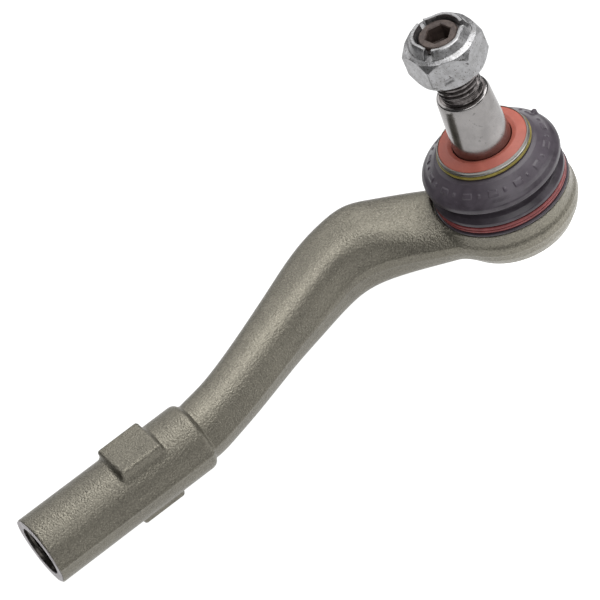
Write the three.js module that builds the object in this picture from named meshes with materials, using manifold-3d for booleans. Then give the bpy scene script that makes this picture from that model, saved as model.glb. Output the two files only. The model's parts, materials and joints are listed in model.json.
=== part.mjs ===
// Tie rod end: a bent forged rod with a threaded socket at one end and a ball joint at the other.
// Millimetres, +Z along the ball stud. The closing cover's underside is z = 0 on the stud axis,
// and the threaded socket points along -X.
import * as THREE from 'three';
import Module from 'manifold-3d';
import { mergeVertices } from 'three/addons/utils/BufferGeometryUtils.js';

const wasm = await Module();
wasm.setup();

// ---- driving dimensions ------------------------------------------------------------------------
const GAP = 0.3;                      // running gap left between neighbouring pieces
const MID_Z = 11.6;                   // mid-plane of the forging, and the socket's axis
const BALL_Z = MID_Z + 1.0;           // ball centre
const BALL_R = 11.0;
const BALL_FLAT_Z = BALL_Z - 9.4;     // the ball's underside is turned flat

// housing
const HOUSING_R = 18.9;               // largest radius, just under the boot
const NECK_R = 15.2;                  // turned neck that carries the boot
const NECK_TOP = MID_Z + 9.2;
const SHOULDER_Z = MID_Z + 4.6;       // shoulder that the boot stands on
const SEAT_R = 19.2;                  // turned clearance round the boot's foot
const BORE_R = 12.8;
const MOUTH_R = 9.6;                  // opening that the stud swings in
const RIM_R = 10.6;                   // rolled rim that holds the closing cover
const COVER_R = 11.7;

// threaded socket, M14 x 1.5 inside
const SOCKET_END = -154.4;
const SOCKET_START = -103.6;
const SOCKET_R_END = 10.35;
const SOCKET_R_START = 10.2;
const TAP_R = 6.6;
const TAP_DEPTH = 40;
const TAP_CHAMFER_R = 7.4;
const FLAT_HALF = 10.4;               // wrench flats for a 21 mm spanner
const BOSS_WIDTH = 12.6;
const LOWER_BOSS_WIDTH = 10.6;
const BOSS_FROM = -127.8;
const BOSS_TO = -114.8;

// stud, M12 x 1.5 on a 1:10 taper
const STUD_NECK_R = 6.0;
const TAPER_TOP_Z = MID_Z + 38.9;
const TAPER_TOP_R = 7.2;
const TAPER_FOOT_Z = MID_Z + 20.2;
const TAPER_SLOPE = 0.05;
const THREAD_R = 5.9;
const TIP_Z = MID_Z + 60.7;
const KEY_AF = 6;
const KEY_DEPTH = 5;

// lock nut, 19 mm across flats
const NUT_AF = 19;
const NUT_Z = MID_Z + 49.5;
const NUT_HEX = 9.6;
const NUT_TOTAL = 12.0;
const NUT_TURN = 33;                  // degrees
const SLOT_WIDTH = 2.2;
const SLOT_DEPTH = 2.0;

// ---- helpers -----------------------------------------------------------------------------------
const vec2 = (points) => points.map(([x, y]) => new THREE.Vector2(x, y));

function toSolid(geometry) {
  const bare = geometry.index ? geometry.toNonIndexed() : geometry.clone();
  bare.deleteAttribute('normal');
  bare.deleteAttribute('uv');
  const merged = mergeVertices(bare, 1e-4);
  return new wasm.Manifold(new wasm.Mesh({
    numProp: 3,
    vertProperties: Float32Array.from(merged.attributes.position.array),
    triVerts: Uint32Array.from(merged.index.array),
  }));
}

// Solid of revolution about Z; the profile is [radius, z] pairs, bottom to top.
function turned(points, segments = 40) {
  const geometry = new THREE.LatheGeometry(vec2(points), segments);
  geometry.rotateX(Math.PI / 2);
  return toSolid(geometry);
}

// Ring of revolution: the profile is closed on itself, counter-clockwise in the (radius, z) plane.
function ring(points, segments = 40) {
  return turned([...points, points[0]], segments);
}

function prism(outline, depth) {
  return toSolid(new THREE.ExtrudeGeometry(new THREE.Shape(vec2(outline)), {
    depth, bevelEnabled: false, curveSegments: 1,
  }));
}

function block(x0, x1, y0, y1, z0, z1) {
  return prism([[x0, y0], [x1, y0], [x1, y1], [x0, y1]], z1 - z0).translate([0, 0, z0]);
}

function polygon(sides, acrossFlats, turnDegrees) {
  const radius = acrossFlats / 2 / Math.cos(Math.PI / sides);
  return Array.from({ length: sides }, (_, i) => {
    const angle = THREE.MathUtils.degToRad(turnDegrees) + (i * 2 * Math.PI) / sides;
    return [radius * Math.cos(angle), radius * Math.sin(angle)];
  });
}

// Lays a solid turned about Z along -X, so that its z becomes the distance past the ball centre.
function alongSocket(solid) {
  return solid.rotate([0, -90, 0]).translate([0, 0, MID_Z]);
}

// ---- forged rod --------------------------------------------------------------------------------
// Centre line of the arm in the mid-plane, with the half width and half height of its section.
const ARM = [
  // x, y, half width, half height
  [0, 0, 8.0, 5.5],
  [-12, 4.2, 9.2, 6.4],
  [-23.5, 10.8, 10.0, 8.6],
  [-33, 16.8, 10.8, 10.0],
  [-41.2, 19.6, 11.0, 10.4],
  [-49.9, 18.4, 10.4, 9.8],
  [-60, 14.9, 9.3, 9.2],
  [-70.1, 11, 8.7, 8.7],
  [-86.8, 4.5, 8.2, 8.3],
  [-96, 1.6, 8.2, 8.3],
  [-106, 0, 8.4, 8.4],
];

function forgedArm() {
  const centre = new THREE.CatmullRomCurve3(ARM.map(([x, y]) => new THREE.Vector3(x, y, 0)));
  const section = new THREE.CatmullRomCurve3(ARM.map(([, , a, b]) => new THREE.Vector3(a, b, 0)));
  const steps = 36;
  const around = 28;
  const rod = new THREE.CylinderGeometry(1, 1, 1, around, steps);
  const place = rod.attributes.position;
  const up = new THREE.Vector3(0, 0, 1);
  for (let i = 0; i < place.count; i += 1) {
    const t = THREE.MathUtils.clamp(0.5 - place.getY(i), 0, 1);
    const point = centre.getPoint(t);
    const side = new THREE.Vector3().crossVectors(up, centre.getTangent(t));
    const size = section.getPoint(t);
    point.addScaledVector(side, place.getX(i) * size.x);
    point.addScaledVector(up, place.getZ(i) * size.y);
    place.setXYZ(i, point.x, point.y, point.z + MID_Z);
  }
  return toSolid(rod);
}

function forgedRod() {
  const housing = turned([
    [0, MID_Z - 11.2], [12.2, MID_Z - 11.2], [13.3, MID_Z - 10.2], [15.4, MID_Z - 8],
    [16.9, MID_Z - 5.2], [17.8, MID_Z - 3], [18.5, MID_Z], [HOUSING_R, MID_Z + 2.5],
    [HOUSING_R, SHOULDER_Z - 0.5], [HOUSING_R - 0.5, SHOULDER_Z],
    [NECK_R, SHOULDER_Z], [NECK_R, NECK_TOP - 0.6], [NECK_R - 0.6, NECK_TOP], [0, NECK_TOP],
  ], 48);
  const socket = alongSocket(turned([
    [0, -SOCKET_START - 1], [8.6, -SOCKET_START - 1], [9.3, -SOCKET_START + 0.4],
    [SOCKET_R_START, -SOCKET_START + 1.6], [SOCKET_R_END, -SOCKET_END - 0.4],
    [SOCKET_R_END - 0.4, -SOCKET_END], [0, -SOCKET_END],
  ]));
  const upperBoss = block(BOSS_FROM, BOSS_TO, -BOSS_WIDTH / 2, BOSS_WIDTH / 2, MID_Z, MID_Z + FLAT_HALF);
  const lowerBoss = block(
    BOSS_FROM, BOSS_TO, -LOWER_BOSS_WIDTH / 2, LOWER_BOSS_WIDTH / 2, MID_Z - FLAT_HALF, MID_Z,
  );
  const cavity = turned([
    [0, -1], [RIM_R, -1], [RIM_R, MID_Z - 10.6], [COVER_R + GAP, MID_Z - 10.6],
    [COVER_R + GAP, MID_Z - 8.9], [BORE_R, MID_Z - 8.1], [BORE_R, MID_Z + 3.6],
    [11.0, MID_Z + 7.3], [MOUTH_R, MID_Z + 7.6], [11.6, NECK_TOP + 0.2], [0, NECK_TOP + 0.2],
  ], 48);
  const tap = alongSocket(turned([
    [0, -SOCKET_END - TAP_DEPTH - 3], [TAP_R, -SOCKET_END - TAP_DEPTH],
    [TAP_R, -SOCKET_END - 1.0], [TAP_CHAMFER_R, -SOCKET_END], [TAP_CHAMFER_R, -SOCKET_END + 1],
    [0, -SOCKET_END + 1],
  ]));
  const bootSeat = ring([
    [NECK_R, SHOULDER_Z], [SEAT_R, SHOULDER_Z], [SEAT_R + 1.5, NECK_TOP + 6], [NECK_R, NECK_TOP + 6],
  ], 48);
  const blank = housing.add(forgedArm().subtract(bootSeat)).add(socket).add(upperBoss).add(lowerBoss);
  return blank.subtract(cavity).subtract(tap);
}

// ---- ball stud and nut -------------------------------------------------------------------------
function ballStud() {
  const profile = [[0, BALL_FLAT_Z]];
  const fromAngle = Math.asin((BALL_FLAT_Z - BALL_Z) / BALL_R);
  const toAngle = Math.acos((STUD_NECK_R + 0.3) / BALL_R);
  const steps = 18;
  for (let i = 0; i <= steps; i += 1) {
    const angle = fromAngle + (i / steps) * (toAngle - fromAngle);
    profile.push([BALL_R * Math.cos(angle), BALL_Z + BALL_R * Math.sin(angle)]);
  }
  profile.push([STUD_NECK_R, BALL_Z + 9.6]);
  profile.push([STUD_NECK_R, MID_Z + 14.0]);
  profile.push([TAPER_TOP_R + TAPER_SLOPE * (TAPER_TOP_Z - TAPER_FOOT_Z), TAPER_FOOT_Z]);
  profile.push([TAPER_TOP_R, TAPER_TOP_Z]);
  profile.push([THREAD_R - 0.7, TAPER_TOP_Z + 0.9]);
  profile.push([THREAD_R - 0.7, TAPER_TOP_Z + 2.2]);
  profile.push([THREAD_R, TAPER_TOP_Z + 3.0]);
  profile.push([THREAD_R, TIP_Z - 0.7]);
  profile.push([THREAD_R - 0.6, TIP_Z]);
  profile.push([0, TIP_Z]);
  const key = prism(polygon(6, KEY_AF, 12), KEY_DEPTH + 1).translate([0, 0, TIP_Z - KEY_DEPTH]);
  return turned(profile).subtract(key);
}

function lockNut() {
  const top = NUT_Z + NUT_TOTAL;
  const hex = prism(polygon(6, NUT_AF, NUT_TURN), NUT_HEX).translate([0, 0, NUT_Z]);
  const cornerR = NUT_AF / Math.sqrt(3) + 0.2;
  const chamfered = turned([
    [0, NUT_Z], [9.3, NUT_Z], [cornerR, NUT_Z + 1.0], [cornerR, NUT_Z + NUT_HEX - 1.1],
    [9.1, NUT_Z + NUT_HEX], [0, NUT_Z + NUT_HEX],
  ]);
  const collar = turned([
    [0, NUT_Z + 4], [8.4, NUT_Z + 4], [8.4, NUT_Z + NUT_HEX], [7.5, top - 0.7], [7.0, top], [0, top],
  ]);
  const hole = turned([
    [0, NUT_Z - 1], [THREAD_R + GAP + 0.5, NUT_Z - 1], [THREAD_R + GAP + 0.5, NUT_Z],
    [THREAD_R + GAP, NUT_Z + 0.7], [THREAD_R + GAP, top + 1], [0, top + 1],
  ]);
  let nut = hex.intersect(chamfered).add(collar).subtract(hole);
  for (let i = 0; i < 3; i += 1) {
    const slot = block(5, 12, -SLOT_WIDTH / 2, SLOT_WIDTH / 2, top - SLOT_DEPTH, top + 1);
    nut = nut.subtract(slot.rotate([0, 0, NUT_TURN + 60 + i * 120]));
  }
  return nut;
}

// ---- bearing, closing cover --------------------------------------------------------------------
function shell(fromZ, toZ, outside) {
  const bearingR = BALL_R + GAP;
  const inner = [];
  const steps = 7;
  for (let i = 0; i <= steps; i += 1) {
    const z = fromZ + ((toZ - fromZ) * i) / steps;
    inner.push([Math.sqrt(bearingR * bearingR - (z - BALL_Z) * (z - BALL_Z)), z]);
  }
  return ring([...outside, ...inner.reverse()], 36);
}

const upperShell = () => shell(BALL_Z + 0.15, MID_Z + 7.0, [
  [BORE_R - GAP, BALL_Z + 0.15], [BORE_R - GAP, MID_Z + 3.4], [10.7, MID_Z + 7.0],
]);

const lowerShell = () => shell(BALL_Z - 8.4, BALL_Z - 0.15, [
  [10.6, BALL_Z - 8.4], [BORE_R - GAP, BALL_Z - 7.6], [BORE_R - GAP, BALL_Z - 0.15],
]);

const preloadRing = () => ring([
  [7.6, MID_Z - 9.15], [8.4, MID_Z - 9.15], [10.4, MID_Z - 8.3], [10.4, MID_Z - 7.95],
  [9.6, MID_Z - 7.95], [7.6, MID_Z - 8.75],
], 36);

const closingCover = () => turned([
  [0, 0], [9.6, 0], [10.2, 0.6], [10.2, 1.35], [COVER_R - 0.3, 1.35], [COVER_R, 1.65],
  [COVER_R, 2.1], [8.6, 2.1], [8.1, 1.6], [0, 1.6],
]);

const coverSeal = () => ring([
  [10.8, MID_Z - 9.2], [11.6, MID_Z - 9.2], [11.6, MID_Z - 8.7], [10.8, MID_Z - 8.2],
], 36);

// ---- dust boot and its rings -------------------------------------------------------------------
const at = (points) => points.map(([r, z]) => [r, z + MID_Z]);

const dustBoot = () => ring(at([
  [15.5, 4.9], [18.5, 4.9], [18.5, 6.0], [17.1, 6.1], [17.1, 7.5], [18.1, 7.7], [18.2, 9.2],
  [16.7, 10.3], [16.7, 11.3], [18.3, 12.4], [18.8, 14.2], [18.7, 15.8], [18.0, 17.4],
  [16.5, 18.7], [14.6, 19.4], [12.9, 19.8], [11.9, 19.9], [11.9, 20.9], [10.4, 20.9],
  [10.4, 19.2], [12.6, 18.2], [15.2, 17.2], [16.5, 15.9], [16.9, 14.6], [16.5, 13.2],
  [14.9, 11.8], [14.9, 10.0], [15.5, 9.5],
]), 44);

const clampRing = () => ring(at([[17.4, 6.4], [18.1, 6.4], [18.1, 7.2], [17.4, 7.2]]), 44);

const tensionRing = () => ring(at([
  [12.2, 20.2], [12.6, 20.1], [13.0, 20.3], [13.0, 20.7], [12.6, 20.9], [12.2, 20.7],
]));

const carrierRing = () => ring(at([
  [10.6, 21.2], [12.7, 21.2], [12.7, 22.0], [12.35, 22.0], [12.35, 21.5], [10.6, 21.5],
]));

const sealLip = () => ring(at([
  [8.5, 20.0], [9.1, 20.0], [9.5, 21.5], [9.9, 21.8], [12.05, 21.8], [12.05, 22.1],
  [9.4, 22.8], [8.8, 22.6], [8.45, 21.6],
]));

// ---- assembly ----------------------------------------------------------------------------------
const FINISH = {
  forging: { color: 0x8a8675, roughness: 0.55, metalness: 0.6 },
  steel: { color: 0xb9bcc0, roughness: 0.22, metalness: 1.0 },
  zinc: { color: 0xb4b6b8, roughness: 0.38, metalness: 0.9 },
  bearing: { color: 0xe8e4d8, roughness: 0.5, metalness: 0.0 },
  spring: { color: 0x55585c, roughness: 0.4, metalness: 0.9 },
  cover: { color: 0x9a9d9f, roughness: 0.45, metalness: 0.8 },
  sealRubber: { color: 0x1c1c1e, roughness: 0.7, metalness: 0.0 },
  boot: { color: 0x3f3a40, roughness: 0.65, metalness: 0.0 },
  clampRed: { color: 0x9d4a44, roughness: 0.5, metalness: 0.0 },
  yellow: { color: 0x8f8436, roughness: 0.5, metalness: 0.0 },
  carrier: { color: 0xa3a49f, roughness: 0.35, metalness: 0.9 },
  lip: { color: 0xb5604f, roughness: 0.55, metalness: 0.0 },
};

const PIECES = [
  ['rod_body', forgedRod, 'forging'],
  ['bearing_shell_upper', upperShell, 'bearing'],
  ['bearing_shell_lower', lowerShell, 'bearing'],
  ['preload_ring', preloadRing, 'spring'],
  ['cover_seal', coverSeal, 'sealRubber'],
  ['closing_cover', closingCover, 'cover'],
  ['ball_stud', ballStud, 'steel'],
  ['lock_nut', lockNut, 'zinc'],
  ['dust_boot', dustBoot, 'boot'],
  ['boot_clamp_ring', clampRing, 'clampRed'],
  ['boot_tension_ring', tensionRing, 'yellow'],
  ['seal_carrier_ring', carrierRing, 'carrier'],
  ['seal_lip', sealLip, 'lip'],
];

function toMesh(name, solid, finish) {
  const source = solid.getMesh();
  const geometry = new THREE.BufferGeometry();
  geometry.setAttribute('position', new THREE.BufferAttribute(source.vertProperties, 3));
  geometry.setIndex(new THREE.BufferAttribute(source.triVerts, 1));
  const mesh = new THREE.Mesh(geometry, new THREE.MeshStandardMaterial(FINISH[finish]));
  mesh.name = name;
  return mesh;
}

const tieRodEnd = new THREE.Group();
for (const [name, make, finish] of PIECES) {
  tieRodEnd.add(toMesh(name, make(), finish));
}

export default tieRodEnd;
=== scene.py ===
"""Tie rod end: the looks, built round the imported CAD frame.

Lengths are in millimetres until a mesh is made. A height marked `mid` is measured from the
forging's mid-plane, any other from the closing cover's underside.
"""
import json
import math

import bpy
import numpy as np
from mathutils import Matrix, Vector


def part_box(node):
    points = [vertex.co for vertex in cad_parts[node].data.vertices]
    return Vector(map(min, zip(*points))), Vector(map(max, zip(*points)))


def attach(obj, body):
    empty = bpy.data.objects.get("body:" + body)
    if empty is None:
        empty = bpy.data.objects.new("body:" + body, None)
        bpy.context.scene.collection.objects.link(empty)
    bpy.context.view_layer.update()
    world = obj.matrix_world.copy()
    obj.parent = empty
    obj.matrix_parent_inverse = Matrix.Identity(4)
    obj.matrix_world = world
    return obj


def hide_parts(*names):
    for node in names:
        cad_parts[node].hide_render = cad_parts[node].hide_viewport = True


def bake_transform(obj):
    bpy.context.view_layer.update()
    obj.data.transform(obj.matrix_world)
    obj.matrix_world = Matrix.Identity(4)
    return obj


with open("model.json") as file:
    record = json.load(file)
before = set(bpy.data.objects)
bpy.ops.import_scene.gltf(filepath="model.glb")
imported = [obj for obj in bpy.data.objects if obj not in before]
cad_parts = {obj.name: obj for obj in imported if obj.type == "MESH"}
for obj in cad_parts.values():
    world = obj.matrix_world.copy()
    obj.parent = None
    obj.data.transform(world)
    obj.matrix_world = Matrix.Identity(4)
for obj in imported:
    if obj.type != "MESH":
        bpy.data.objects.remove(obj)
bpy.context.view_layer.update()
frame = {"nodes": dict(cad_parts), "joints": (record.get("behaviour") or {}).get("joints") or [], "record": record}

MM = 0.001

# ---- places read from the frame ----------------------------------------------------------------
MOUNT = {m["name"]: Vector(m["pos_m"]) / MM for m in frame["record"]["mounts"]}
MID = (MOUNT["wrench_flat_top"].z + MOUNT["wrench_flat_bottom"].z) / 2
FLAT = MOUNT["wrench_flat_top"].z - MID
FLAT_X = MOUNT["wrench_flat_top"].x
SOCKET_END = MOUNT["socket_face"].x
NUT_Z = MOUNT["nut_seat"].z
BALL_Z = next(j for j in frame["joints"] if j["name"] == "stud_tilt_x")["pos_m"][2] / MM
TIP_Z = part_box("ball_stud")[1].z / MM
NUT_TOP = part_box("lock_nut")[1].z / MM
BALL_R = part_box("ball_stud")[1].x / MM
BALL_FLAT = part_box("ball_stud")[0].z / MM

# ---- sizes -------------------------------------------------------------------------------------
PITCH = 1.5                   # both threads
NECK_TOP = 9.2                # housing neck, mid
SHOULDER = 4.6                # where the boot stands, mid
NECK_R = 15.2
SEAT_R = 18.85
HOUSING_FILLET = 2.2          # between the housing and the arm
SCOOP = (-20.5, 1.5, 16.6)    # centre of the hollow in the arm's top beside the boot, mid
SCOOP_R = 9.6
ARM_START = -112.0            # inside the socket
ARM_STOP = 1.0                # inside the housing
SOCKET_START = -103.6
SOCKET_R_END = 10.3
SOCKET_R_START = 10.2
COLLAR_ROUND = 2.4            # the socket's shoulder towards the arm
SOCKET_THREAD_R = 7.05        # at the root
SOCKET_THREAD_TOOTH = 0.8
SOCKET_THREAD_END = 40.0      # from the socket's face
SLEEVE_R = 7.9                # hole in the forging for the threaded sleeve
PAD_LENGTH = 13.0
PAD_WIDTH = 12.6
LOWER_PAD_WIDTH = 10.6
PAD_ROUND = 0.9
PAD_FILLET = 1.2
STUD_NECK_R = 6.0
TAPER_TOP = 38.9              # mid
TAPER_FOOT = 20.2             # mid
TAPER_TOP_R = 7.2
TAPER_SLOPE = 0.05
THREAD_R = 5.9                # at the crest
THREAD_ROOT_R = 5.15
KEY_HALF = 3.0                # half the hex key's width
NUT_AF = 19.0
NUT_HEX = 9.6                 # height of the nut without its crown
NUT_TURN = 33.0               # degrees
SLOT_HALF = 0.13              # half width of a crown slot, radians
DENT = 0.35                   # depth of the dent in one flat
BOOT_SPLIT = 13.0             # the boot's two halves meet under its bulge, mid
BLEND_FOOT = 8.4              # heights listed beside the boot's two halves, mid
BLEND_TOP = 19.8
MARKS = 14                    # a dash and a pip each, round the boot's cone
MARK_RISE = 0.3
NIB_AT = 9.0                  # degrees
VOXEL = 0.38


# ---- mesh helpers ------------------------------------------------------------------------------
def make_object(name, verts, faces, body, slot, material, sharp=38):
    """A named mesh from points in mm, shaded smooth apart from its sharp edges."""
    mesh = bpy.data.meshes.new(name)
    mesh.from_pydata((np.asarray(verts, float) * MM).tolist(), [], faces)
    mesh.validate()
    mesh.shade_smooth()
    mesh.set_sharp_from_angle(angle=math.radians(sharp))
    mesh.materials.append(material)
    piece = bpy.data.objects.new(name, mesh)
    bpy.context.scene.collection.objects.link(piece)
    if body:
        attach(piece, body)
    return piece


def rounded(points, closed=False, steps=6):
    """A polyline of (radius, z, fillet) with each corner rounded to its fillet."""
    p = [np.array(q[:2], float) for q in points]
    fillets = [q[2] if len(q) > 2 else 0.0 for q in points]
    out = []
    for i, here in enumerate(p):
        ends = not closed and i in (0, len(p) - 1)
        if ends or fillets[i] <= 0:
            out.append(here)
            continue
        a, b = p[i - 1] - here, p[(i + 1) % len(p)] - here
        la, lb = np.linalg.norm(a), np.linalg.norm(b)
        a, b = a / la, b / lb
        half = math.acos(np.clip(a @ b, -1, 1)) / 2
        reach = min(fillets[i] / math.tan(half), la * 0.49, lb * 0.49)
        radius = reach * math.tan(half)
        centre = here + (a + b) / np.linalg.norm(a + b) * (radius / math.sin(half))
        start, stop = here + a * reach - centre, here + b * reach - centre
        sweep = math.atan2(start[0] * stop[1] - start[1] * stop[0], start @ stop)
        for k in range(steps + 1):
            t = sweep * k / steps
            c, s = math.cos(t), math.sin(t)
            out.append(centre + np.array([c * start[0] - s * start[1], s * start[0] + c * start[1]]))
    return np.array(out)


def columns(count, extra=()):
    """Angles of a ring stack's columns, with extra ones where a feature has an edge."""
    angles = np.linspace(0, 2 * np.pi, count, endpoint=False)
    extra = np.asarray(extra, float) % (2 * np.pi)
    return np.unique(np.round(np.concatenate([angles, extra]), 6))


def ring_stack(rows, theta, closed=False):
    """Quads through rows of (radius, z), each a number or one value per column, bottom outside up."""
    n = len(theta)
    verts, faces = [], []
    for radius, z in rows:
        radius, z = np.broadcast_to(radius, n), np.broadcast_to(z, n)
        verts.append(np.stack([radius * np.cos(theta), radius * np.sin(theta), z], 1))
    verts = np.concatenate(verts)
    count = len(rows)
    turn = np.arange(n)
    for i in range(count if closed else count - 1):
        a, b = i * n, ((i + 1) % count) * n
        quads = np.stack([a + turn, a + (turn + 1) % n, b + (turn + 1) % n, b + turn], 1)
        faces += quads.tolist()
    if not closed:
        faces.append(turn[::-1].tolist())
        faces.append(((count - 1) * n + turn).tolist())
    return verts, faces


def lathe(points, closed=True):
    """A turned piece from a profile of (radius, z, fillet), with z in mid."""
    return ring_stack([(r, z + MID) for r, z in rounded(points, closed)], columns(192), closed)


def tooth(z, theta, flank, root):
    """Height of a helical thread's tooth, 0 at the root and 1 at the crest."""
    phase = (z / PITCH - theta / (2 * np.pi)) % 1
    return np.clip(flank * (1 - np.abs(2 * phase - 1)) - root, 0, 1)


def angle_from(theta, centre):
    """Angle past the centre's, between minus and plus half a turn."""
    return (theta - centre + np.pi) % (2 * np.pi) - np.pi


def spline(xs, ys):
    """Natural cubic spline through the points, as a function."""
    xs, ys = np.asarray(xs, float), np.asarray(ys, float)
    h = np.diff(xs)
    n = len(xs)
    m = np.eye(n)
    rhs = np.zeros(n)
    for i in range(1, n - 1):
        m[i, i - 1:i + 2] = h[i - 1], 2 * (h[i - 1] + h[i]), h[i]
        rhs[i] = 6 * ((ys[i + 1] - ys[i]) / h[i] - (ys[i] - ys[i - 1]) / h[i - 1])
    k = np.linalg.solve(m, rhs)
    fine = np.linspace(xs[0], xs[-1], 1200)
    j = np.clip(np.searchsorted(xs, fine) - 1, 0, n - 2)
    a, b = xs[j + 1] - fine, fine - xs[j]
    table = (k[j] * a**3 + k[j + 1] * b**3) / (6 * h[j])
    table += (ys[j] / h[j] - k[j] * h[j] / 6) * a + (ys[j + 1] / h[j] - k[j + 1] * h[j] / 6) * b
    return lambda x: np.interp(x, fine, table)


# ---- signed distance shapes for the forging ----------------------------------------------------
def smin(a, b, k):
    """Union of two distances with a fillet of about k."""
    h = np.clip(0.5 + 0.5 * (b - a) / k, 0, 1)
    return b * (1 - h) + a * h - k * h * (1 - h)


def smax(a, b, k):
    """Intersection of two distances with an edge rounded by about k."""
    return -smin(-a, -b, k)


def outline_distance(u, v, points):
    """Signed distance in the (u, v) plane to a closed outline, negative inside."""
    best = np.full(u.shape, 1e9)
    inside = np.zeros(u.shape, bool)
    for (ax, ay), (bx, by) in zip(points, np.roll(points, -1, axis=0)):
        ex, ey = bx - ax, by - ay
        t = np.clip(((u - ax) * ex + (v - ay) * ey) / (ex * ex + ey * ey), 0, 1)
        best = np.minimum(best, (u - ax - t * ex) ** 2 + (v - ay - t * ey) ** 2)
        if abs(ey) > 1e-9:
            crosses = ((ay > v) != (by > v)) & (u < ex * (v - ay) / ey + ax)
            inside ^= crosses
    return np.where(inside, -1, 1) * np.sqrt(best)


def box_distance(x, y, z, half, round_by):
    """Signed distance to a box round the origin, with rounded edges."""
    q = [np.abs(c) - (h - round_by) for c, h in zip((x, y, z), half)]
    outside = np.sqrt(sum(np.maximum(c, 0) ** 2 for c in q))
    return outside + np.minimum(np.maximum(np.maximum(q[0], q[1]), q[2]), 0) - round_by


# Arm: station x, centre y, half width, half height above and below the mid-plane, squareness.
ARM = np.array([
    [ARM_START, -0.6, 6.6, 6.6, 6.6, 2.1],
    [-103.0, -0.1, 8.15, 8.2, 8.2, 2.1],
    [-96.0, 1.3, 8.0, 8.1, 8.1, 2.15],
    [-86.8, 4.2, 7.9, 8.2, 8.2, 2.2],
    [-70.1, 10.7, 8.4, 8.7, 8.6, 2.35],
    [-60.0, 14.55, 8.95, 9.2, 9.0, 2.6],
    [-49.9, 18.05, 9.5, 9.7, 9.4, 2.9],
    [-41.2, 19.25, 9.9, 10.1, 9.6, 3.1],
    [-33.0, 17.15, 10.3, 10.1, 9.4, 3.0],
    [-27.0, 13.8, 10.5, 8.6, 9.0, 2.7],
    [-21.0, 9.6, 10.6, 7.6, 8.5, 2.5],
    [-14.0, 4.8, 11.0, 6.8, 8.2, 2.3],
    [-6.0, 1.0, 11.0, 4.8, 8.0, 2.3],
    [2.0, 0.0, 9.0, 4.5, 8.0, 2.3],
])
arm_y, arm_a, arm_up, arm_down, arm_n = (spline(ARM[:, 0], ARM[:, i]) for i in range(1, 6))
# Half height of the trimmed flash band at the mid-plane, and the draft of the die faces above it.
band_half = spline([-160, -80, -62, -50, -38, -20, 5], [0.1, 0.1, 0.3, 0.8, 1.2, 1.2, 1.1])
band_draft = spline([-160, -95, -70, -50, -38, -20, 5], [0.46, 0.5, 0.5, 0.52, 0.55, 0.5, 0.35])
# How much higher the outer side of the bend stands than its inner side.
arm_tilt = spline([-160, -60, -42, -34, -28, -20, -8, 5], [0, 0, 0.02, 0.15, 0.25, 0.32, 0.2, 0])

HOUSING = rounded([
    (0, -11.2), (12.2, -11.2, 0.7), (13.7, -10.0, 1.0), (16.2, -7.9, 3), (18.0, -4.9, 2), (18.6, -2.9, 0.5),
    (18.88, -2.3, 0.2), (18.88, -0.2, 0.3), (18.3, 1.0, 0.9), (18.4, SHOULDER, 0.35), (NECK_R, SHOULDER, 0),
    (NECK_R, NECK_TOP, 0.5), (0, NECK_TOP)])
CAVITY = rounded([
    (0, -14), (10.6, -14), (10.6, -10.6), (12.0, -10.6), (12.0, -8.9), (12.8, -8.1), (12.8, 3.6),
    (11.0, 7.3), (9.6, 7.6, 0.3), (11.7, NECK_TOP + 0.4), (0, NECK_TOP + 0.4)])


def recede(z, half, draft, fade):
    """How far a die face draws back from the parting line at height z."""
    out = np.maximum(np.abs(z) - half, 0)
    return np.where(z > 0, draft, draft * 0.7) * fade * (1 - np.exp(-out / fade))


def arm_distance(x, y, z):
    """The arm: a squared-off ellipse carried along the bend, narrower away from the parting line."""
    slope = arm_y(x + 0.5) - arm_y(x - 0.5)
    side = (y - arm_y(x)) / np.sqrt(1 + slope**2)
    a, n = arm_a(x), arm_n(x)
    tilted = arm_up(x) * (1 + arm_tilt(x) * np.clip(side / a, -1, 1))
    b = np.where(z > 0, tilted, arm_down(x))
    a = a + 0.35 - recede(z, band_half(x), band_draft(x), 2.4)
    q = (np.abs(side / a) ** n + np.abs(z / b) ** n + 1e-9) ** (1 / n)
    arm = smax((q - 1) * np.minimum(a, b), x - ARM_STOP, 0.4)
    return smax(arm, ARM_START - x, 0.4)


def socket_distance(x, y, z):
    """The socket's outside, with its collar and two wrench pads."""
    along = (SOCKET_START - x) / (SOCKET_START - SOCKET_END)
    radius = SOCKET_R_START + (SOCKET_R_END - SOCKET_R_START) * np.clip(along, 0, 1)
    tube = np.hypot(y, z) - radius - 0.1 + recede(z, 0.1, 0.6, 1.2)
    socket = smax(tube, x - SOCKET_START, COLLAR_ROUND)
    socket = smax(socket, SOCKET_END + 0.12 - x, 0.5)
    width = np.where(z > 0, PAD_WIDTH, LOWER_PAD_WIDTH) / 2
    half = (PAD_LENGTH / 2, PAD_WIDTH / 2, FLAT)
    pads = box_distance(x - FLAT_X, y * (PAD_WIDTH / 2) / width, z, half, PAD_ROUND)
    return smin(socket, pads, PAD_FILLET)


def add_housing(arm, x, y, z):
    """The arm joined to the ball housing, with the boot's seat, neck and cavity cut into them."""
    r = np.hypot(x, y)
    joined = smin(arm, outline_distance(r, z, HOUSING), HOUSING_FILLET)
    scoop = np.sqrt((x - SCOOP[0]) ** 2 + (y - SCOOP[1]) ** 2 + (z - SCOOP[2]) ** 2) - SCOOP_R
    joined = smax(joined, -scoop, 4.0)
    seat = np.maximum(SHOULDER - z, r - SEAT_R)
    neck = np.maximum(r - NECK_R, z - NECK_TOP)
    joined = smax(joined, -np.maximum(seat, -neck), 0.3)
    joined = smax(joined, z - NECK_TOP - np.maximum(r - SEAT_R, 0) * 2, 0.2)
    return np.maximum(joined, -outline_distance(r, z, CAVITY))


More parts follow.
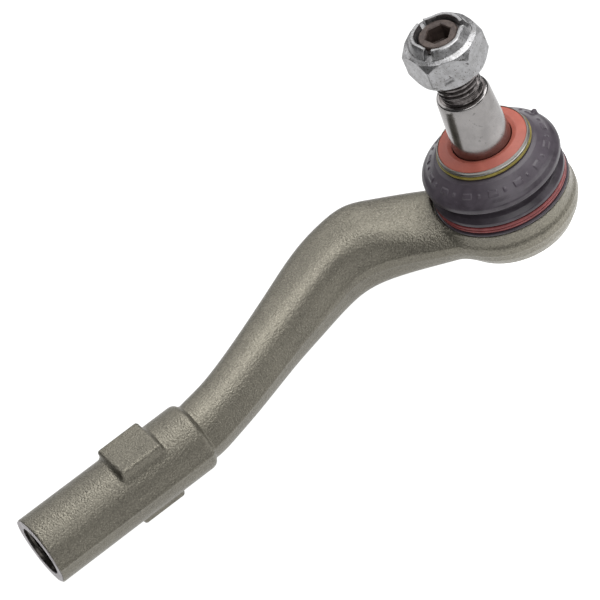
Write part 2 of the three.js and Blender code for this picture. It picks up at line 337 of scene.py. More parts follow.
def forging(p):
    """Signed distance to the forging; p is N x 3 with z in mid. Each shape has its own stretch of x."""
    x, y, z = p[:, 0], p[:, 1], p[:, 2]
    d = np.full(len(x), 50.0)
    on = x > ARM_START - 2
    d[on] = arm_distance(x[on], y[on], z[on])
    on = x < -98
    d[on] = smin(d[on], socket_distance(x[on], y[on], z[on]), 0.7)
    on = x > -42
    d[on] = add_housing(d[on], x[on], y[on], z[on])
    bore = np.maximum(np.hypot(y, z) - SLEEVE_R, x - SOCKET_END - SOCKET_THREAD_END - 1)
    return np.maximum(d, -bore)


def sample(field, low, count, step):
    """Field values on the fine grid; away from the surface a coarse sample speaks for its neighbours."""
    coarse = 4
    axes = [low[i] + step * coarse * np.arange(count[i] // coarse + 2) for i in range(3)]
    grid = np.stack(np.meshgrid(*axes, indexing="ij"), -1)
    value = field(grid.reshape(-1, 3)).reshape(grid.shape[:3])
    near = np.abs(value) < step * coarse * 2.2
    shift = coarse // 2
    for axis in range(3):
        value, near = np.repeat(value, coarse, axis), np.repeat(near, coarse, axis)
    value = value[shift:, shift:, shift:][:count[0], :count[1], :count[2]].copy()
    near = near[shift:, shift:, shift:][:count[0], :count[1], :count[2]]
    index = np.argwhere(near)
    for part in np.array_split(index, max(1, len(index) // 400000)):
        value[part[:, 0], part[:, 1], part[:, 2]] = field(low + part * step)
    return value


def crossings(field, value, low, step, axis):
    """Where the surface crosses the grid's edges along one axis: points, normals and cells round each."""
    u, v = (axis + 1) % 3, (axis + 2) % 3
    inside = value < 0
    head = [slice(None)] * 3
    tail = [slice(None)] * 3
    head[axis], tail[axis] = slice(0, -1), slice(1, None)
    edge = np.argwhere(inside[tuple(head)] != inside[tuple(tail)])
    edge = edge[(edge[:, u] > 0) & (edge[:, v] > 0)]
    stop = edge.copy()
    stop[:, axis] += 1

    def point(t):
        p = low + edge * step
        p[:, axis] += t * step
        return p

    fa, fb = value[tuple(edge.T)], value[tuple(stop.T)]
    ta, tb = np.zeros(len(edge)), np.ones(len(edge))
    flip = fa > 0
    for _ in range(4):
        t = ta + (tb - ta) * np.clip(fa / (fa - fb), 0.05, 0.95)
        ft = field(point(t))
        left = (ft < 0) == (fa < 0)
        ta, fa = np.where(left, t, ta), np.where(left, ft, fa)
        tb, fb = np.where(left, tb, t), np.where(left, fb, ft)
    p = point(ta + (tb - ta) * np.clip(fa / (fa - fb + 1e-12), 0, 1))
    eps = step * 0.05
    n = np.stack([field(p + eps * e) - field(p - eps * e) for e in np.eye(3)], 1)
    n /= np.linalg.norm(n, axis=1, keepdims=True) + 1e-12
    corner = []
    for du, dv in ((0, 0), (-1, 0), (-1, -1), (0, -1)):
        cell = edge.copy()
        cell[:, u] += du
        cell[:, v] += dv
        corner.append(np.ravel_multi_index(cell.T, value.shape))
    corner = np.stack(corner, 1)
    corner[flip] = corner[flip][:, ::-1]
    return p, n, corner


def contour(field, low, high, step):
    """Dual contouring: one vertex a cell, placed by the surface's crossings and normals."""
    low = np.asarray(low, float)
    count = np.ceil((np.asarray(high) - low) / step).astype(int) + 1
    value = sample(field, low, count, step)
    found = [crossings(field, value, low, step, axis) for axis in range(3)]
    quads = np.concatenate([corner for _, _, corner in found])
    p = np.concatenate([p for p, _, _ in found for _ in range(4)])
    n = np.concatenate([n for _, n, _ in found for _ in range(4)])
    cells = np.concatenate([corner[:, k] for _, _, corner in found for k in range(4)])
    ids, which = np.unique(cells, return_inverse=True)
    amount = np.bincount(which)
    mass = np.stack([np.bincount(which, p[:, i]) for i in range(3)], 1) / amount[:, None]
    dot = (n * (p - mass[which])).sum(1)
    ata = np.zeros((len(ids), 3, 3))
    atb = np.zeros((len(ids), 3))
    for i in range(3):
        atb[:, i] = np.bincount(which, n[:, i] * dot)
        for j in range(3):
            ata[:, i, j] = np.bincount(which, n[:, i] * n[:, j])
    ata += np.eye(3) * 0.04 * amount[:, None, None]
    move = np.linalg.solve(ata, atb[..., None])[..., 0]
    size = np.linalg.norm(move, axis=1, keepdims=True)
    move *= np.minimum(1, step * 0.9 / (size + 1e-9))
    return mass + move, np.searchsorted(ids, quads)


# ---- materials ---------------------------------------------------------------------------------
class Nodes:
    """A small writer for one procedural material."""

    def __init__(self, name):
        self.material = bpy.data.materials.new(name)
        self.material.use_nodes = True
        self.tree = self.material.node_tree
        self.shader = self.tree.nodes["Principled BSDF"]
        self.place = self.tree.nodes.new("ShaderNodeTexCoord").outputs["Object"]

    def node(self, kind, **settings):
        made = self.tree.nodes.new("ShaderNode" + kind)
        for key, value in settings.items():
            setattr(made, key, value)
        return made

    def link(self, a, b):
        self.tree.links.new(a, b)

    def feed(self, socket, value):
        """Link a node's output to the socket, or set the socket to a colour or a number."""
        if isinstance(value, bpy.types.NodeSocket):
            self.link(value, socket)
        else:
            socket.default_value = (*value, 1) if isinstance(value, tuple) else value

    def noise(self, size_mm, detail=2.0, rough=0.5, distortion=0.0):
        made = self.node("TexNoise")
        made.inputs["Scale"].default_value = 1 / (size_mm * MM)
        made.inputs["Detail"].default_value = detail
        made.inputs["Roughness"].default_value = rough
        made.inputs["Distortion"].default_value = distortion
        self.link(self.place, made.inputs["Vector"])
        return made.outputs["Fac"]

    def cells(self, size_mm):
        made = self.node("TexVoronoi", feature="SMOOTH_F1")
        made.inputs["Scale"].default_value = 1 / (size_mm * MM)
        self.link(self.place, made.inputs["Vector"])
        return made.outputs["Distance"]

    def remap(self, value, low, high, to_low=0.0, to_high=1.0):
        made = self.node("MapRange")
        made.interpolation_type = "SMOOTHSTEP"
        made.inputs["From Min"].default_value = low
        made.inputs["From Max"].default_value = high
        made.inputs["To Min"].default_value = to_low
        made.inputs["To Max"].default_value = to_high
        self.link(value, made.inputs["Value"])
        return made.outputs["Result"]

    def mix(self, factor, a, b):
        made = self.node("Mix", data_type="RGBA")
        # the colour sockets of a Mix node
        self.feed(made.inputs[0], factor)
        self.feed(made.inputs[6], a)
        self.feed(made.inputs[7], b)
        return made.outputs[2]

    def times(self, a, b):
        made = self.node("Math", operation="MULTIPLY")
        self.link(a, made.inputs[0])
        self.link(b, made.inputs[1])
        return made.outputs[0]

    def bump(self, height, distance_mm, strength=1.0, after=None):
        made = self.node("Bump")
        made.inputs["Strength"].default_value = strength
        made.inputs["Distance"].default_value = distance_mm * MM
        self.link(height, made.inputs["Height"])
        if after is not None:
            self.link(after, made.inputs["Normal"])
        return made.outputs["Normal"]

    def finish(self, color, roughness, normal, metallic=0.0):
        self.feed(self.shader.inputs["Base Color"], color)
        self.feed(self.shader.inputs["Roughness"], roughness)
        self.feed(self.shader.inputs["Normal"], normal)
        self.feed(self.shader.inputs["Metallic"], metallic)
        return self.material


def lighter(color, gain, lift):
    """A paler colour, for dust, wear and the painted sheen."""
    return tuple(min(1, c * gain + lift) for c in color)


def zinc_flake():
    """Matt grey-olive flake coating on a shot-blasted forging."""
    m = Nodes("zinc_flake_coating")
    grain = m.noise(0.42, 2, 0.6)
    pebble = m.cells(0.52)
    blotch = m.noise(14, 3, 0.55)
    fine = m.noise(0.24, 1, 0.5)
    base = m.mix(m.remap(blotch, 0.35, 0.68), (0.130, 0.121, 0.098), (0.152, 0.142, 0.113))
    base = m.mix(m.remap(grain, 0.3, 0.72), base, (0.205, 0.191, 0.155))
    mottle = m.remap(m.noise(0.9, 2, 0.6), 0.54, 0.72, 0, 0.45)
    base = m.mix(mottle, base, (0.085, 0.078, 0.062))
    base = m.mix(m.remap(fine, 0.64, 0.76), base, (0.34, 0.317, 0.262))
    rough = m.remap(grain, 0.3, 0.75, 0.44, 0.35)
    normal = m.bump(m.noise(3, 2, 0.5), 0.05, 0.4)
    normal = m.bump(pebble, 0.15, 0.75, normal)
    normal = m.bump(grain, 0.12, 0.9, normal)
    return m.finish(base, rough, normal, 0.75)


def machined(name, color, roughness, tooth=0.25, axis="Z", metallic=1.0):
    """Turned metal: fine rings round its own axis."""
    m = Nodes(name)
    stretch = m.node("Mapping")
    stretch.inputs["Scale"].default_value = (1, 1, 40) if axis == "Z" else (40, 1, 1)
    m.link(m.place, stretch.inputs["Vector"])
    lines = m.node("TexNoise")
    lines.inputs["Scale"].default_value = 1 / (2.4 * MM)
    lines.inputs["Detail"].default_value = 3
    m.link(stretch.outputs[0], lines.inputs["Vector"])
    smear = m.noise(5, 3, 0.6)
    tint = tuple(c * 0.82 for c in color)
    base = m.mix(m.remap(smear, 0.3, 0.7), tint, color)
    scuff = m.remap(m.noise(2.2, 3, 0.6, 1.8), 0.60, 0.70, 0, 0.45)
    base = m.mix(scuff, base, tuple(c * 0.35 for c in color))
    worn = m.times(lines.outputs["Fac"], smear)
    rough = m.remap(worn, 0.1, 0.45, roughness * 0.75, roughness * 1.35)
    normal = m.bump(lines.outputs["Fac"], 0.012, tooth)
    return m.finish(base, rough, normal, metallic)


def zinc_plate():
    """Bright plating, clouded, speckled and dark along its sharp edges."""
    m = Nodes("zinc_plate")
    speck = m.remap(m.noise(0.45, 3, 0.65), 0.57, 0.67)
    cloud = m.noise(2.6, 4, 0.65)
    base = m.mix(m.remap(cloud, 0.3, 0.7), (0.27, 0.268, 0.27), (0.38, 0.38, 0.388))
    base = m.mix(speck, base, (0.12, 0.11, 0.10))
    edge = m.node("NewGeometry").outputs["Pointiness"]
    base = m.mix(m.remap(edge, 0.53, 0.58, 0, 0.75), base, (0.07, 0.066, 0.064))
    rough = m.remap(m.noise(0.8, 3, 0.6), 0.3, 0.7, 0.3, 0.46)
    normal = m.bump(m.noise(0.5, 3, 0.6), 0.04, 0.7)
    normal = m.bump(m.noise(4, 2, 0.5), 0.10, 0.45, normal)
    return m.finish(base, rough, normal, 0.95)


def phosphate(name, dark, light, roughness, metallic):
    """Chemically darkened steel."""
    m = Nodes(name)
    base = m.mix(m.remap(m.noise(1.6, 3, 0.6), 0.35, 0.7), dark, light)
    normal = m.bump(m.noise(0.3, 2, 0.5), 0.02, 0.5)
    rough = m.remap(m.noise(0.6, 2, 0.5), 0.3, 0.7, roughness * 0.8, roughness * 1.25)
    return m.finish(base, rough, normal, metallic)


def rubber(name, dark, light, roughness, dust, sheen_band=None):
    """Moulded rubber with specks of dust, and a painted sheen that makes it paler between two given heights."""
    m = Nodes(name)
    smear = m.noise(4.5, 5, 0.62, 0.6)
    fine = m.noise(0.5, 3, 0.6)
    base = m.mix(m.remap(smear, 0.32, 0.75, 0, 1), dark, light)
    dusty = m.remap(fine, 0.66, 0.8, 0, dust)
    base = m.mix(dusty, base, lighter(light, 2.4, 0.06))
    if sheen_band:
        # painted sheen: the boot's upper face is made paler, standing in for the overhead light it catches
        split = m.node("SeparateXYZ")
        m.link(m.place, split.inputs[0])
        top = m.remap(split.outputs["Z"], sheen_band[0] * MM, sheen_band[1] * MM, 0.0, 0.6)
        patchy = m.times(top, m.remap(smear, 0.2, 0.8, 0.7, 1.0))
        base = m.mix(patchy, base, lighter(light, 1.35, 0))
    rough = m.remap(smear, 0.3, 0.7, roughness * 0.88, min(1, roughness * 1.15))
    normal = m.bump(fine, 0.02, 0.45)
    m.shader.inputs["Specular IOR Level"].default_value = 0.45
    return m.finish(base, rough, normal)


def plain_plastic(name, dark, light, roughness):
    """Coloured plastic with faint clouds and pale specks."""
    m = Nodes(name)
    base = m.mix(m.remap(m.noise(2.5, 4, 0.6), 0.3, 0.7), dark, light)
    speck = m.remap(m.noise(0.3, 2, 0.6), 0.68, 0.8, 0, 0.5)
    base = m.mix(speck, base, lighter(light, 1.5, 0.1))
    normal = m.bump(m.noise(0.6, 2, 0.5), 0.015, 0.5)
    rough = m.remap(m.noise(1.2, 2, 0.5), 0.3, 0.7, roughness * 0.8, roughness * 1.2)
    return m.finish(base, rough, normal)


COAT = zinc_flake()
POLISHED = machined("ground_steel", (0.30, 0.287, 0.282), 0.2)
FACE = machined("machined_face", (0.44, 0.42, 0.43), 0.62, axis="X", metallic=0.7)
TAPPED = phosphate("tapped_steel", (0.05, 0.045, 0.04), (0.12, 0.11, 0.10), 0.34, 0.9)
ZINC = zinc_plate()
DARK = phosphate("black_oxide", (0.085, 0.076, 0.074), (0.19, 0.175, 0.172), 0.2, 0.95)
TIP = phosphate("brown_phosphate", (0.045, 0.031, 0.027), (0.088, 0.064, 0.055), 0.46, 0.3)
# heights of the painted sheen on the boot's upper face, standing in for overhead light
BOOT_SHEEN_BAND = (MID + 15.6, MID + 17.0)
BOOT = rubber("boot_rubber", (0.036, 0.029, 0.037), (0.068, 0.057, 0.070), 0.36, 0.6, BOOT_SHEEN_BAND)
LIP = rubber("lip_elastomer", (0.37, 0.094, 0.066), (0.45, 0.126, 0.090), 0.5, 0.10)
RED = plain_plastic("clamp_red", (0.17, 0.030, 0.030), (0.26, 0.055, 0.055), 0.38)
YELLOW = plain_plastic("tension_yellow", (0.15, 0.118, 0.012), (0.25, 0.20, 0.03), 0.42)
RIM = machined("carrier_steel", (0.30, 0.29, 0.27), 0.34)
COVER = machined("cover_steel", (0.52, 0.53, 0.54), 0.34)
ACETAL = plain_plastic("acetal", (0.72, 0.70, 0.64), (0.80, 0.78, 0.72), 0.4)
SPRING = machined("spring_steel", (0.25, 0.26, 0.28), 0.3)
SEAL = rubber("cover_seal_rubber", (0.012, 0.012, 0.013), (0.03, 0.03, 0.032), 0.62, 0.35)


# ---- pieces ------------------------------------------------------------------------------------
def make_forging():
    verts, faces = contour(forging, (SOCKET_END - 0.6, -20.2, -12.4), (20.2, 31.6, 12.0), VOXEL)
    verts[:, 2] += MID
    piece = make_object("rod_body_forging", verts, faces.tolist(), "housing", "forging", COAT, sharp=58)
    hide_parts("rod_body")


def make_socket_thread():
    """Machined end of the socket: faced rim, chamfer and female thread, turned about the socket's axis."""
    theta = columns(144)
    rows = [(7.6, 3.0), (8.6, 3.0), (SOCKET_R_END - 1.0, 0.5), (SOCKET_R_END - 0.75, 0.0)]
    rows += [(7.2, 0.0), (SOCKET_THREAD_R, 0.12)]
    rim = len(rows)
    start, stop = 0.9, SOCKET_THREAD_END
    for z in np.arange(start, stop, PITCH / 12):
        run_in = np.clip((z - start) / 1.2, 0, 1)
        rows.append((SOCKET_THREAD_R - SOCKET_THREAD_TOOTH * tooth(z, theta, 1.6, 0.25) * run_in, z))
    rows += [(6.2, stop), (6.0, stop + 0.6), (0.02, stop + 3.4), (0.02, stop + 3.6), (7.6, stop + 1.0)]
    # walked the other way, so that the faces point outwards
    verts, faces = ring_stack(rows[::-1], theta, closed=True)
    turned = np.stack([verts[:, 2] + SOCKET_END, verts[:, 1], verts[:, 0] + MID], 1)
    piece = make_object("rod_body_thread", turned, faces, "housing", "forging", FACE, sharp=30)
    piece.data.materials.append(TAPPED)
    inside = (len(rows) - rim) * len(theta)
    for polygon in piece.data.polygons:
        polygon.material_index = int(polygon.index < inside)
    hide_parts("rod_body")


def make_stud():
    """Ball, ground taper, blackened thread and a brown tip with its hex socket."""
    theta = columns(192)
    low = math.asin((BALL_FLAT - BALL_Z) / BALL_R)
    high = math.acos((STUD_NECK_R + 0.35) / BALL_R)
    ball_mid = BALL_Z - MID
    ball = [(BALL_R * math.cos(a), ball_mid + BALL_R * math.sin(a)) for a in np.linspace(low, high, 40)]
    foot_r = TAPER_TOP_R + TAPER_SLOPE * (TAPER_TOP - TAPER_FOOT)
    neck = rounded([
        ball[-1], (STUD_NECK_R, ball_mid + 9.8, 0.8), (STUD_NECK_R, 14.2, 2.5), (foot_r, TAPER_FOOT, 1.2),
        (TAPER_TOP_R + 0.02, TAPER_TOP - 0.35, 0), (TAPER_TOP_R - 0.05, TAPER_TOP - 0.02)])
    shoulder = rounded([
        (TAPER_TOP_R - 0.05, TAPER_TOP - 0.02), (TAPER_TOP_R - 0.3, TAPER_TOP + 0.75, 0.6),
        (6.2, TAPER_TOP + 0.95, 0.4), (5.25, TAPER_TOP + 1.05, 0.9), (THREAD_ROOT_R, TAPER_TOP + 2.2)])
    rows = [(r, z + MID) for r, z in [*ball[:-1], *neck, *shoulder[1:]]]
    # the ground surface ends half way over the shoulder
    ground = len(ball) - 1 + len(neck) + len(shoulder) // 2 - 1
    start, stop = TAPER_TOP + MID + 2.3, TIP_Z - 0.9
    for z in np.arange(start, stop, PITCH / 14):
        run_in = np.clip((z - start) / 1.4, 0, 1)
        height = (THREAD_R - THREAD_ROOT_R) * tooth(z, theta, 1.75, 0.2) * run_in
        rows.append((THREAD_ROOT_R + height, z))
    threaded = len(rows)
    key = KEY_HALF / np.cos((theta - math.radians(12) + np.pi / 6) % (np.pi / 3) - np.pi / 6)
    rows += [(5.3, stop), (5.2, TIP_Z - 0.25), (4.95, TIP_Z), (4.2, TIP_Z), (key + 0.25, TIP_Z - 0.02)]
    rows += [(key, TIP_Z - depth) for depth in (0.3, 2.5, 4.6)]
    rows += [(key * 0.8, TIP_Z - 4.8), (0.1, TIP_Z - 5.4)]
    verts, faces = ring_stack(rows, theta)
    piece = make_object("ball_stud_turned", verts, faces, "stud", "stud_steel", POLISHED, sharp=28)
    piece.data.materials.append(DARK)
    piece.data.materials.append(TIP)
    for polygon in piece.data.polygons:
        row = polygon.index // len(theta)
        polygon.material_index = 0 if row < ground else 1 if row < threaded else 2
    piece.data.polygons[len(faces) - 2].material_index = 0      # the ball's flat
    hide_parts("ball_stud")


def dented_flats(theta, hexagon, lower, upper):
    """Rows of the nut's six flats. The one that faces the front left has an oblong dent."""
    across = angle_from(theta, math.radians(NUT_TURN - 150))
    across = NUT_AF / 2 * np.tan(np.clip(across, -0.8, 0.8))
    rows = []
    for t in np.linspace(0.03, 0.97, 40):
        z = lower * (1 - t) + upper * t
        u, v = across + 1.1, z - NUT_Z - 3.0
        u, v = 0.98 * u + 0.2 * v, 0.98 * v - 0.2 * u
        dent = np.exp(-((np.maximum(np.abs(u) - 1.1, 0) / 0.35) ** 2) - (v / 0.6) ** 4)
        rows.append((hexagon - DENT * dent, z))
    return rows


def make_nut():
    """Hexagon with a wide top chamfer and a crown whose slots part it into three bent tabs."""
    slots = [math.radians(NUT_TURN + 60 + 120 * i) for i in range(3)]
    corners = [math.radians(NUT_TURN + 60 * i) for i in range(6)]
    extra = [s + side * k for s in slots for side in (-1, 1) for k in (SLOT_HALF, SLOT_HALF + 0.012)]
    extra += [c + k for c in corners for k in (-0.05, -0.03, -0.015, 0, 0.015, 0.03, 0.05)]
    theta = columns(288, extra)
    angle = (theta - math.radians(NUT_TURN)) % (np.pi / 3) - np.pi / 6
    hexagon = np.minimum(NUT_AF / 2 / np.cos(angle), NUT_AF / math.sqrt(3) - 0.14)
    in_slot = np.zeros(len(theta), bool)
    burr = np.zeros(len(theta))
    lean = np.zeros(len(theta))
    for s in slots:
        delta = angle_from(theta, s)
        in_slot |= np.abs(delta) <= SLOT_HALF + 1e-4
        burr += np.exp(-(((np.abs(delta) - SLOT_HALF) / 0.05) ** 2)) * (0.6 + 0.4 * np.sin(37 * delta))
        # one end of each tab is driven in further than the other
        lean += 0.55 * np.exp(-(((delta + 0.45) / 0.32) ** 2))
    bottom, top, hex_top = NUT_Z, NUT_TOP, NUT_Z + NUT_HEX
    lower = bottom + 0.15 + np.maximum(hexagon - 9.5, 0) * math.tan(math.radians(50))
    slope = math.tan(math.radians(20))
    upper = hex_top - 1.15 * slope - np.maximum(hexagon - 9.55, 0) * math.tan(math.radians(53))
    dip = np.where(in_slot, top - 2.6, top)

    def capped(z):
        return np.minimum(z, dip)

    def tab(radius, z, follow):
        bent = radius - follow * lean + 0.12 * follow * burr
        return np.where(in_slot, radius, bent), capped(z + 0.12 * follow * burr)

    bore = THREAD_R + 0.12
    rows = [(bore + 0.55, bottom + 0.02), (7.4, bottom), (9.2, bottom)]
    rows += [(np.minimum(hexagon, 9.5) - 0.12, bottom + 0.04)]
    rows += [(hexagon - 0.03, lower), (hexagon, lower + 0.1)]
    rows += dented_flats(theta, hexagon, lower + 0.1, upper - 0.12)
    rows += [(hexagon, upper - 0.12), (hexagon - 0.04, upper - 0.02)]
    inner, shelf = np.minimum(hexagon - 0.1, 9.6), hex_top - 1.1 * slope
    for t in (0.06, 0.14, 0.3, 0.5, 0.75, 1.0):
        rows.append(((hexagon - 0.04) * (1 - t) + inner * t, (upper - 0.02) * (1 - t) + shelf * t))
    rows += [(9.2, hex_top - 0.75 * slope), (8.6, hex_top - 0.02), (8.4, capped(hex_top + 0.05))]
    rows += [tab(8.2, hex_top + 0.22, 0.1), tab(8.05, hex_top + 0.6, 0.25), tab(7.8, top - 1.2, 0.55)]
    rows += [tab(7.55, top - 0.6, 0.8), tab(7.3, top - 0.2, 1.0)]
    rows += [tab(7.0, top - 0.02, 1.0), tab(6.6, top, 1.0)]
    rows += [tab(6.25, top - 0.08, 1.0), tab(6.2, top - 0.4, 0.7), tab(6.1, top - 0.9, 0.12)]
    rows += [(bore, capped(top - 1.8)), (bore, top - 2.9)]
    rows += [(bore, z) for z in np.linspace(top - 3.4, bottom + 0.6, 6)]
    verts, faces = ring_stack(rows, theta, closed=True)
    piece = make_object("lock_nut_hex", verts, faces, "nut", "nut_zinc", ZINC, sharp=24)
    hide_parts("lock_nut")


def with_marks(profile, theta):
    """Rows of the boot's face, with a ring of plain raised dashes and pips moulded on its cone."""
    rows = []
    low, high = 15.1, 16.9
    cell = (theta * MARKS / np.pi) % 2
    dash = np.abs(cell - 0.6) - 0.34
    pip = np.abs(cell - 1.5) - 0.09
    half_height = np.where(np.abs(cell - 1.5) < 0.3, 0.3, 0.5)
    for i, (r, z) in enumerate(profile):
        rows.append((r, z))
        after = profile[(i + 1) % len(profile)]
        on_cone = z > 14 and r > high and after[0] < low
        if not on_cone:
            continue
        run = np.array([after[0] - r, after[1] - z])
        out = np.array([-run[1], run[0]]) / np.hypot(*run)
        out = out if out[1] > 0 else -out
        for t in np.linspace(0, 1, 15)[1:-1]:
            pr, pz = r + run[0] * t, z + run[1] * t
            sideways = np.minimum(dash, pip) * np.pi / MARKS * pr
            radial = np.abs(pr - (low + high) / 2) - half_height
            rise = np.clip(0.5 - np.maximum(sideways, radial) / 0.16, 0, 1)
            rise = rise * rise * (3 - 2 * rise) * MARK_RISE
            rows.append((pr + out[0] * rise, pz + out[1] * rise))
    return rows


def with_nib(rows, theta):
    """The same rows with a torn moulding nib that stands up from the bulge."""
    nib = np.exp(-(angle_from(theta, math.radians(NIB_AT)) / 0.035) ** 2)
    out = []
    for r, z in rows:
        height = np.mean(z)
        on_bulge = np.mean(r) > 16.8 and 15.2 < height < 16.9
        rise = nib * (1 - abs(height - 16.1) / 0.9) if on_bulge else 0
        out.append((r + 0.9 * rise, z + 1.2 * rise))
    return out


def make_boot():
    """The boot in two halves: its foot on the housing, its bulge up to the stud's collar."""
    foot = lathe([
        (15.4, 4.75, 0.2), (18.3, 4.7, 0.3), (18.5, 5.1, 0.25), (18.35, 5.5, 0.15), (17.3, 5.6, 0.2),
        (17.3, 7.65, 0.2), (17.8, 7.8, 0.25), (18.2, 8.15, 0.45), (18.1, 9.0, 0.6), (17.0, 10.1, 0.8),
        (15.75, 10.75, 0.5), (15.7, 11.9, 0.6), (16.9, 12.75, 0.6), (17.85, BOOT_SPLIT),
        (16.05, BOOT_SPLIT), (14.95, 12.2, 0.5), (14.95, 10.0, 0.3), (15.45, 9.4, 0.2)])
    theta = columns(720)
    profile = rounded([
        (17.85, BOOT_SPLIT), (18.25, 13.12, 0.3), (18.75, 13.7, 0.5), (18.7, 14.9, 1.0),
        (17.9, 15.75, 1.2), (17.1, 16.3, 0), (14.9, 18.45, 0), (13.9, 19.3, 1.0), (12.9, 19.75, 0.6),
        (11.95, 19.95, 0.25), (11.95, 20.95, 0.25), (10.4, 20.95, 0.2),
        (10.4, 19.2, 0.5), (12.8, 18.5, 2), (15.4, 16.6, 2), (16.9, 15.2, 1.0), (17.2, 14.4, 1.0),
        (16.6, 13.4, 0.3), (16.05, BOOT_SPLIT)], True, 8)
    rows = with_nib(with_marks(profile, theta), theta)
    bulge = ring_stack([(r, z + MID) for r, z in rows], theta, True)
    for name, (verts, faces), pair, span in (
            ("dust_boot_foot", foot, ("housing", "boot"), (BLEND_FOOT, BOOT_SPLIT)),
            ("dust_boot_bulge", bulge, ("boot", "seal_collar"), (BOOT_SPLIT, BLEND_TOP))):
        piece = make_object(name, verts, faces, None, "boot_rubber", BOOT, sharp=60)
        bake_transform(piece)
        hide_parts("dust_boot")


def make_ring(name, points, body, slot, material, node):
    made = make_object(name, *lathe(points), body, slot, material)
    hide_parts(node)


def make_rings():
    """The clamp round the boot's foot, and the tension ring, carrier and lip that ride on the stud."""
    make_ring("boot_clamp_band", [
        (17.4, 5.7, 0.1), (18.0, 5.7, 0.3), (18.15, 6.45, 0.25), (17.85, 6.55, 0.1), (17.85, 6.75, 0.1),
        (18.15, 6.85, 0.25), (17.95, 7.5, 0.3), (17.4, 7.5, 0.1)],
        "housing", "clamp_red", RED, "boot_clamp_ring")
    make_ring("boot_tension_band", [
        (12.05, 20.15, 0.2), (12.75, 20.1, 0.3), (12.95, 20.5, 0.3), (12.8, 20.95, 0.3),
        (12.05, 20.95, 0.2)],
        "seal_collar", "tension_yellow", YELLOW, "boot_tension_ring")
    make_ring("seal_carrier_rim", [
        (10.6, 21.05, 0.05), (12.6, 21.05, 0.1), (12.62, 21.35, 0.12), (12.4, 21.5, 0.12),
        (12.3, 21.6, 0.1), (12.3, 22.25, 0.1), (12.08, 22.25, 0.1), (12.06, 21.5, 0.1), (10.6, 21.5)],
        "seal_collar", "carrier_steel", RIM, "seal_carrier_ring")
    make_ring("seal_lip_ring", [
        (8.3, 20.6, 0.1), (8.9, 20.2, 0.2), (9.4, 21.4, 0.3), (11.9, 21.55, 0.1), (12.0, 22.15, 0.12),
        (11.7, 22.3, 0.25), (9.6, 23.0, 0.25), (9.3, 22.97, 0.2), (8.2, 22.5, 0.05), (8.2, 22.1, 0.1)],
        "seal_collar", "lip_elastomer", LIP, "seal_lip")


def make_cover():
    """The cover pressed into the housing's underside, dished in the middle."""
    verts, faces = lathe([
        (0.02, -11.6), (9.4, -11.6, 0.5), (10.15, -10.9, 0.4), (10.3, -10.3, 0.3), (11.5, -10.25, 0.2),
        (11.7, -9.9, 0.15), (11.7, -9.5, 0.1), (8.7, -9.5, 0.4), (8.2, -10.0, 0.4), (0.02, -10.0)],
        closed=False)
    piece = make_object("closing_cover_pressing", verts, faces, "housing", "cover_steel", COVER)
    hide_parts("closing_cover")


def repaint():
    """Carried-over CAD nodes get their full materials."""
    inner = {"bearing_shell_upper": ACETAL, "bearing_shell_lower": ACETAL, "preload_ring": SPRING,
             "cover_seal": SEAL}
    for name, material in inner.items():
        for slot in frame["nodes"][name].material_slots:
            slot.material = material


# ---- camera, floor and lights ------------------------------------------------------------------
CAMERA = {"azimuth": -16.99, "elevation": 42.07, "roll": -25.45, "distance": 1.2, "lens": 273.6,
          "target": (-0.05676, 0.0209, 0.00737)}


def make_camera():
    """Looks at the target from the azimuth and elevation, rolled about the line of sight."""
    a, e = math.radians(CAMERA["azimuth"]), math.radians(CAMERA["elevation"])
    back = Vector((math.sin(a) * math.cos(e), -math.cos(a) * math.cos(e), math.sin(e)))
    data = bpy.data.cameras.new("camera")
    data.lens = CAMERA["lens"]
    data.sensor_width = 36
    data.clip_start, data.clip_end = 0.05, 20
    camera = bpy.data.objects.new("camera", data)
    camera.location = Vector(CAMERA["target"]) + back * CAMERA["distance"]
    turn = (-back).to_track_quat("-Z", "Y").to_matrix().to_4x4()
    camera.rotation_euler = (turn @ Matrix.Rotation(math.radians(CAMERA["roll"]), 4, "Z")).to_euler()
    bpy.context.scene.collection.objects.link(camera)
    bpy.context.scene.camera = camera


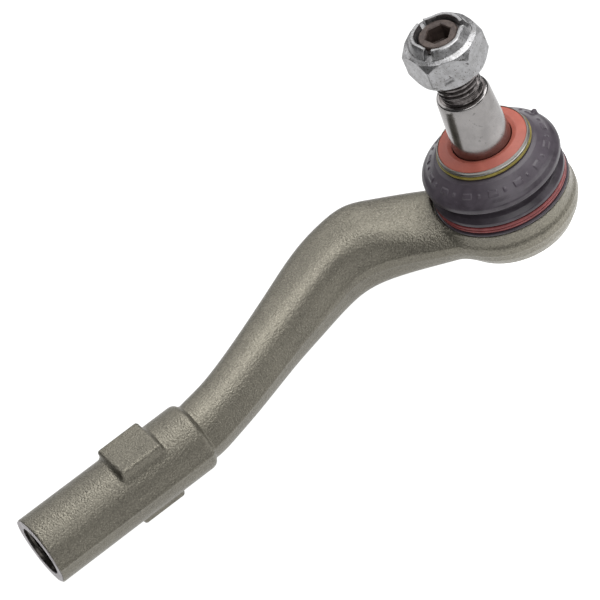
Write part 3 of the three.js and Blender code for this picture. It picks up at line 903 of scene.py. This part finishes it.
def make_floor():
    mesh = bpy.data.meshes.new("floor")
    half = 3.0
    corners = [(-half, -half, 0), (half, -half, 0), (half, half, 0), (-half, half, 0)]
    mesh.from_pydata(corners, [], [(0, 1, 2, 3)])
    floor = bpy.data.objects.new("floor", mesh)
    floor.location.z = -0.0002
    m = Nodes("floor_paint")
    # lit from below as a light table is, more strongly in front of the housing
    away = m.node("VectorMath", operation="DISTANCE")
    away.inputs[1].default_value = (0.022, -0.022, 0)
    m.link(m.place, away.inputs[0])
    glow = m.remap(away.outputs["Value"], 0.015, 0.06, 1.7, 1.02)
    m.link(glow, m.shader.inputs["Emission Strength"])
    m.shader.inputs["Emission Color"].default_value = (1, 1, 1, 1)
    mesh.materials.append(m.finish((0.12, 0.12, 0.12), 0.9, m.bump(m.noise(20), 0.01, 0.2)))
    bpy.context.scene.collection.objects.link(floor)


def make_light(name, place, aim, size, power):
    lamp = bpy.data.lights.new(name, "AREA")
    lamp.shape = "RECTANGLE"
    lamp.size, lamp.size_y = size
    lamp.energy = power
    obj = bpy.data.objects.new(name, lamp)
    obj.location = place
    obj.rotation_euler = (Vector(aim) - Vector(place)).to_track_quat("-Z", "Y").to_euler()
    bpy.context.scene.collection.objects.link(obj)


def make_lights():
    """Large soft boxes round the part, with a little light from everywhere."""
    world = bpy.data.worlds.new("studio")
    bpy.context.scene.world = world
    world.use_nodes = True
    background = world.node_tree.nodes["Background"]
    background.inputs["Color"].default_value = (1, 1, 1, 1)
    background.inputs["Strength"].default_value = 0.09
    bpy.context.scene.view_settings.view_transform = "Standard"
    make_light("overhead", (0.38, 0.0, 0.95), (-0.05, 0, 0), (0.95, 1.0), 11.5)
    make_light("front", (-0.25, -1.0, 1.0), (-0.05, 0, 0), (1.1, 0.7), 6.0)
    make_light("behind", (0.15, 0.95, 0.75), (-0.05, 0, 0), (1.2, 0.7), 4.5)
    make_light("fill", (0.6, -0.45, 0.25), (0, 0, 0.02), (0.25, 0.5), 0.6)


make_camera()
make_floor()
make_lights()
make_forging()
make_socket_thread()
make_stud()
make_nut()
make_boot()
make_rings()
make_cover()
repaint()
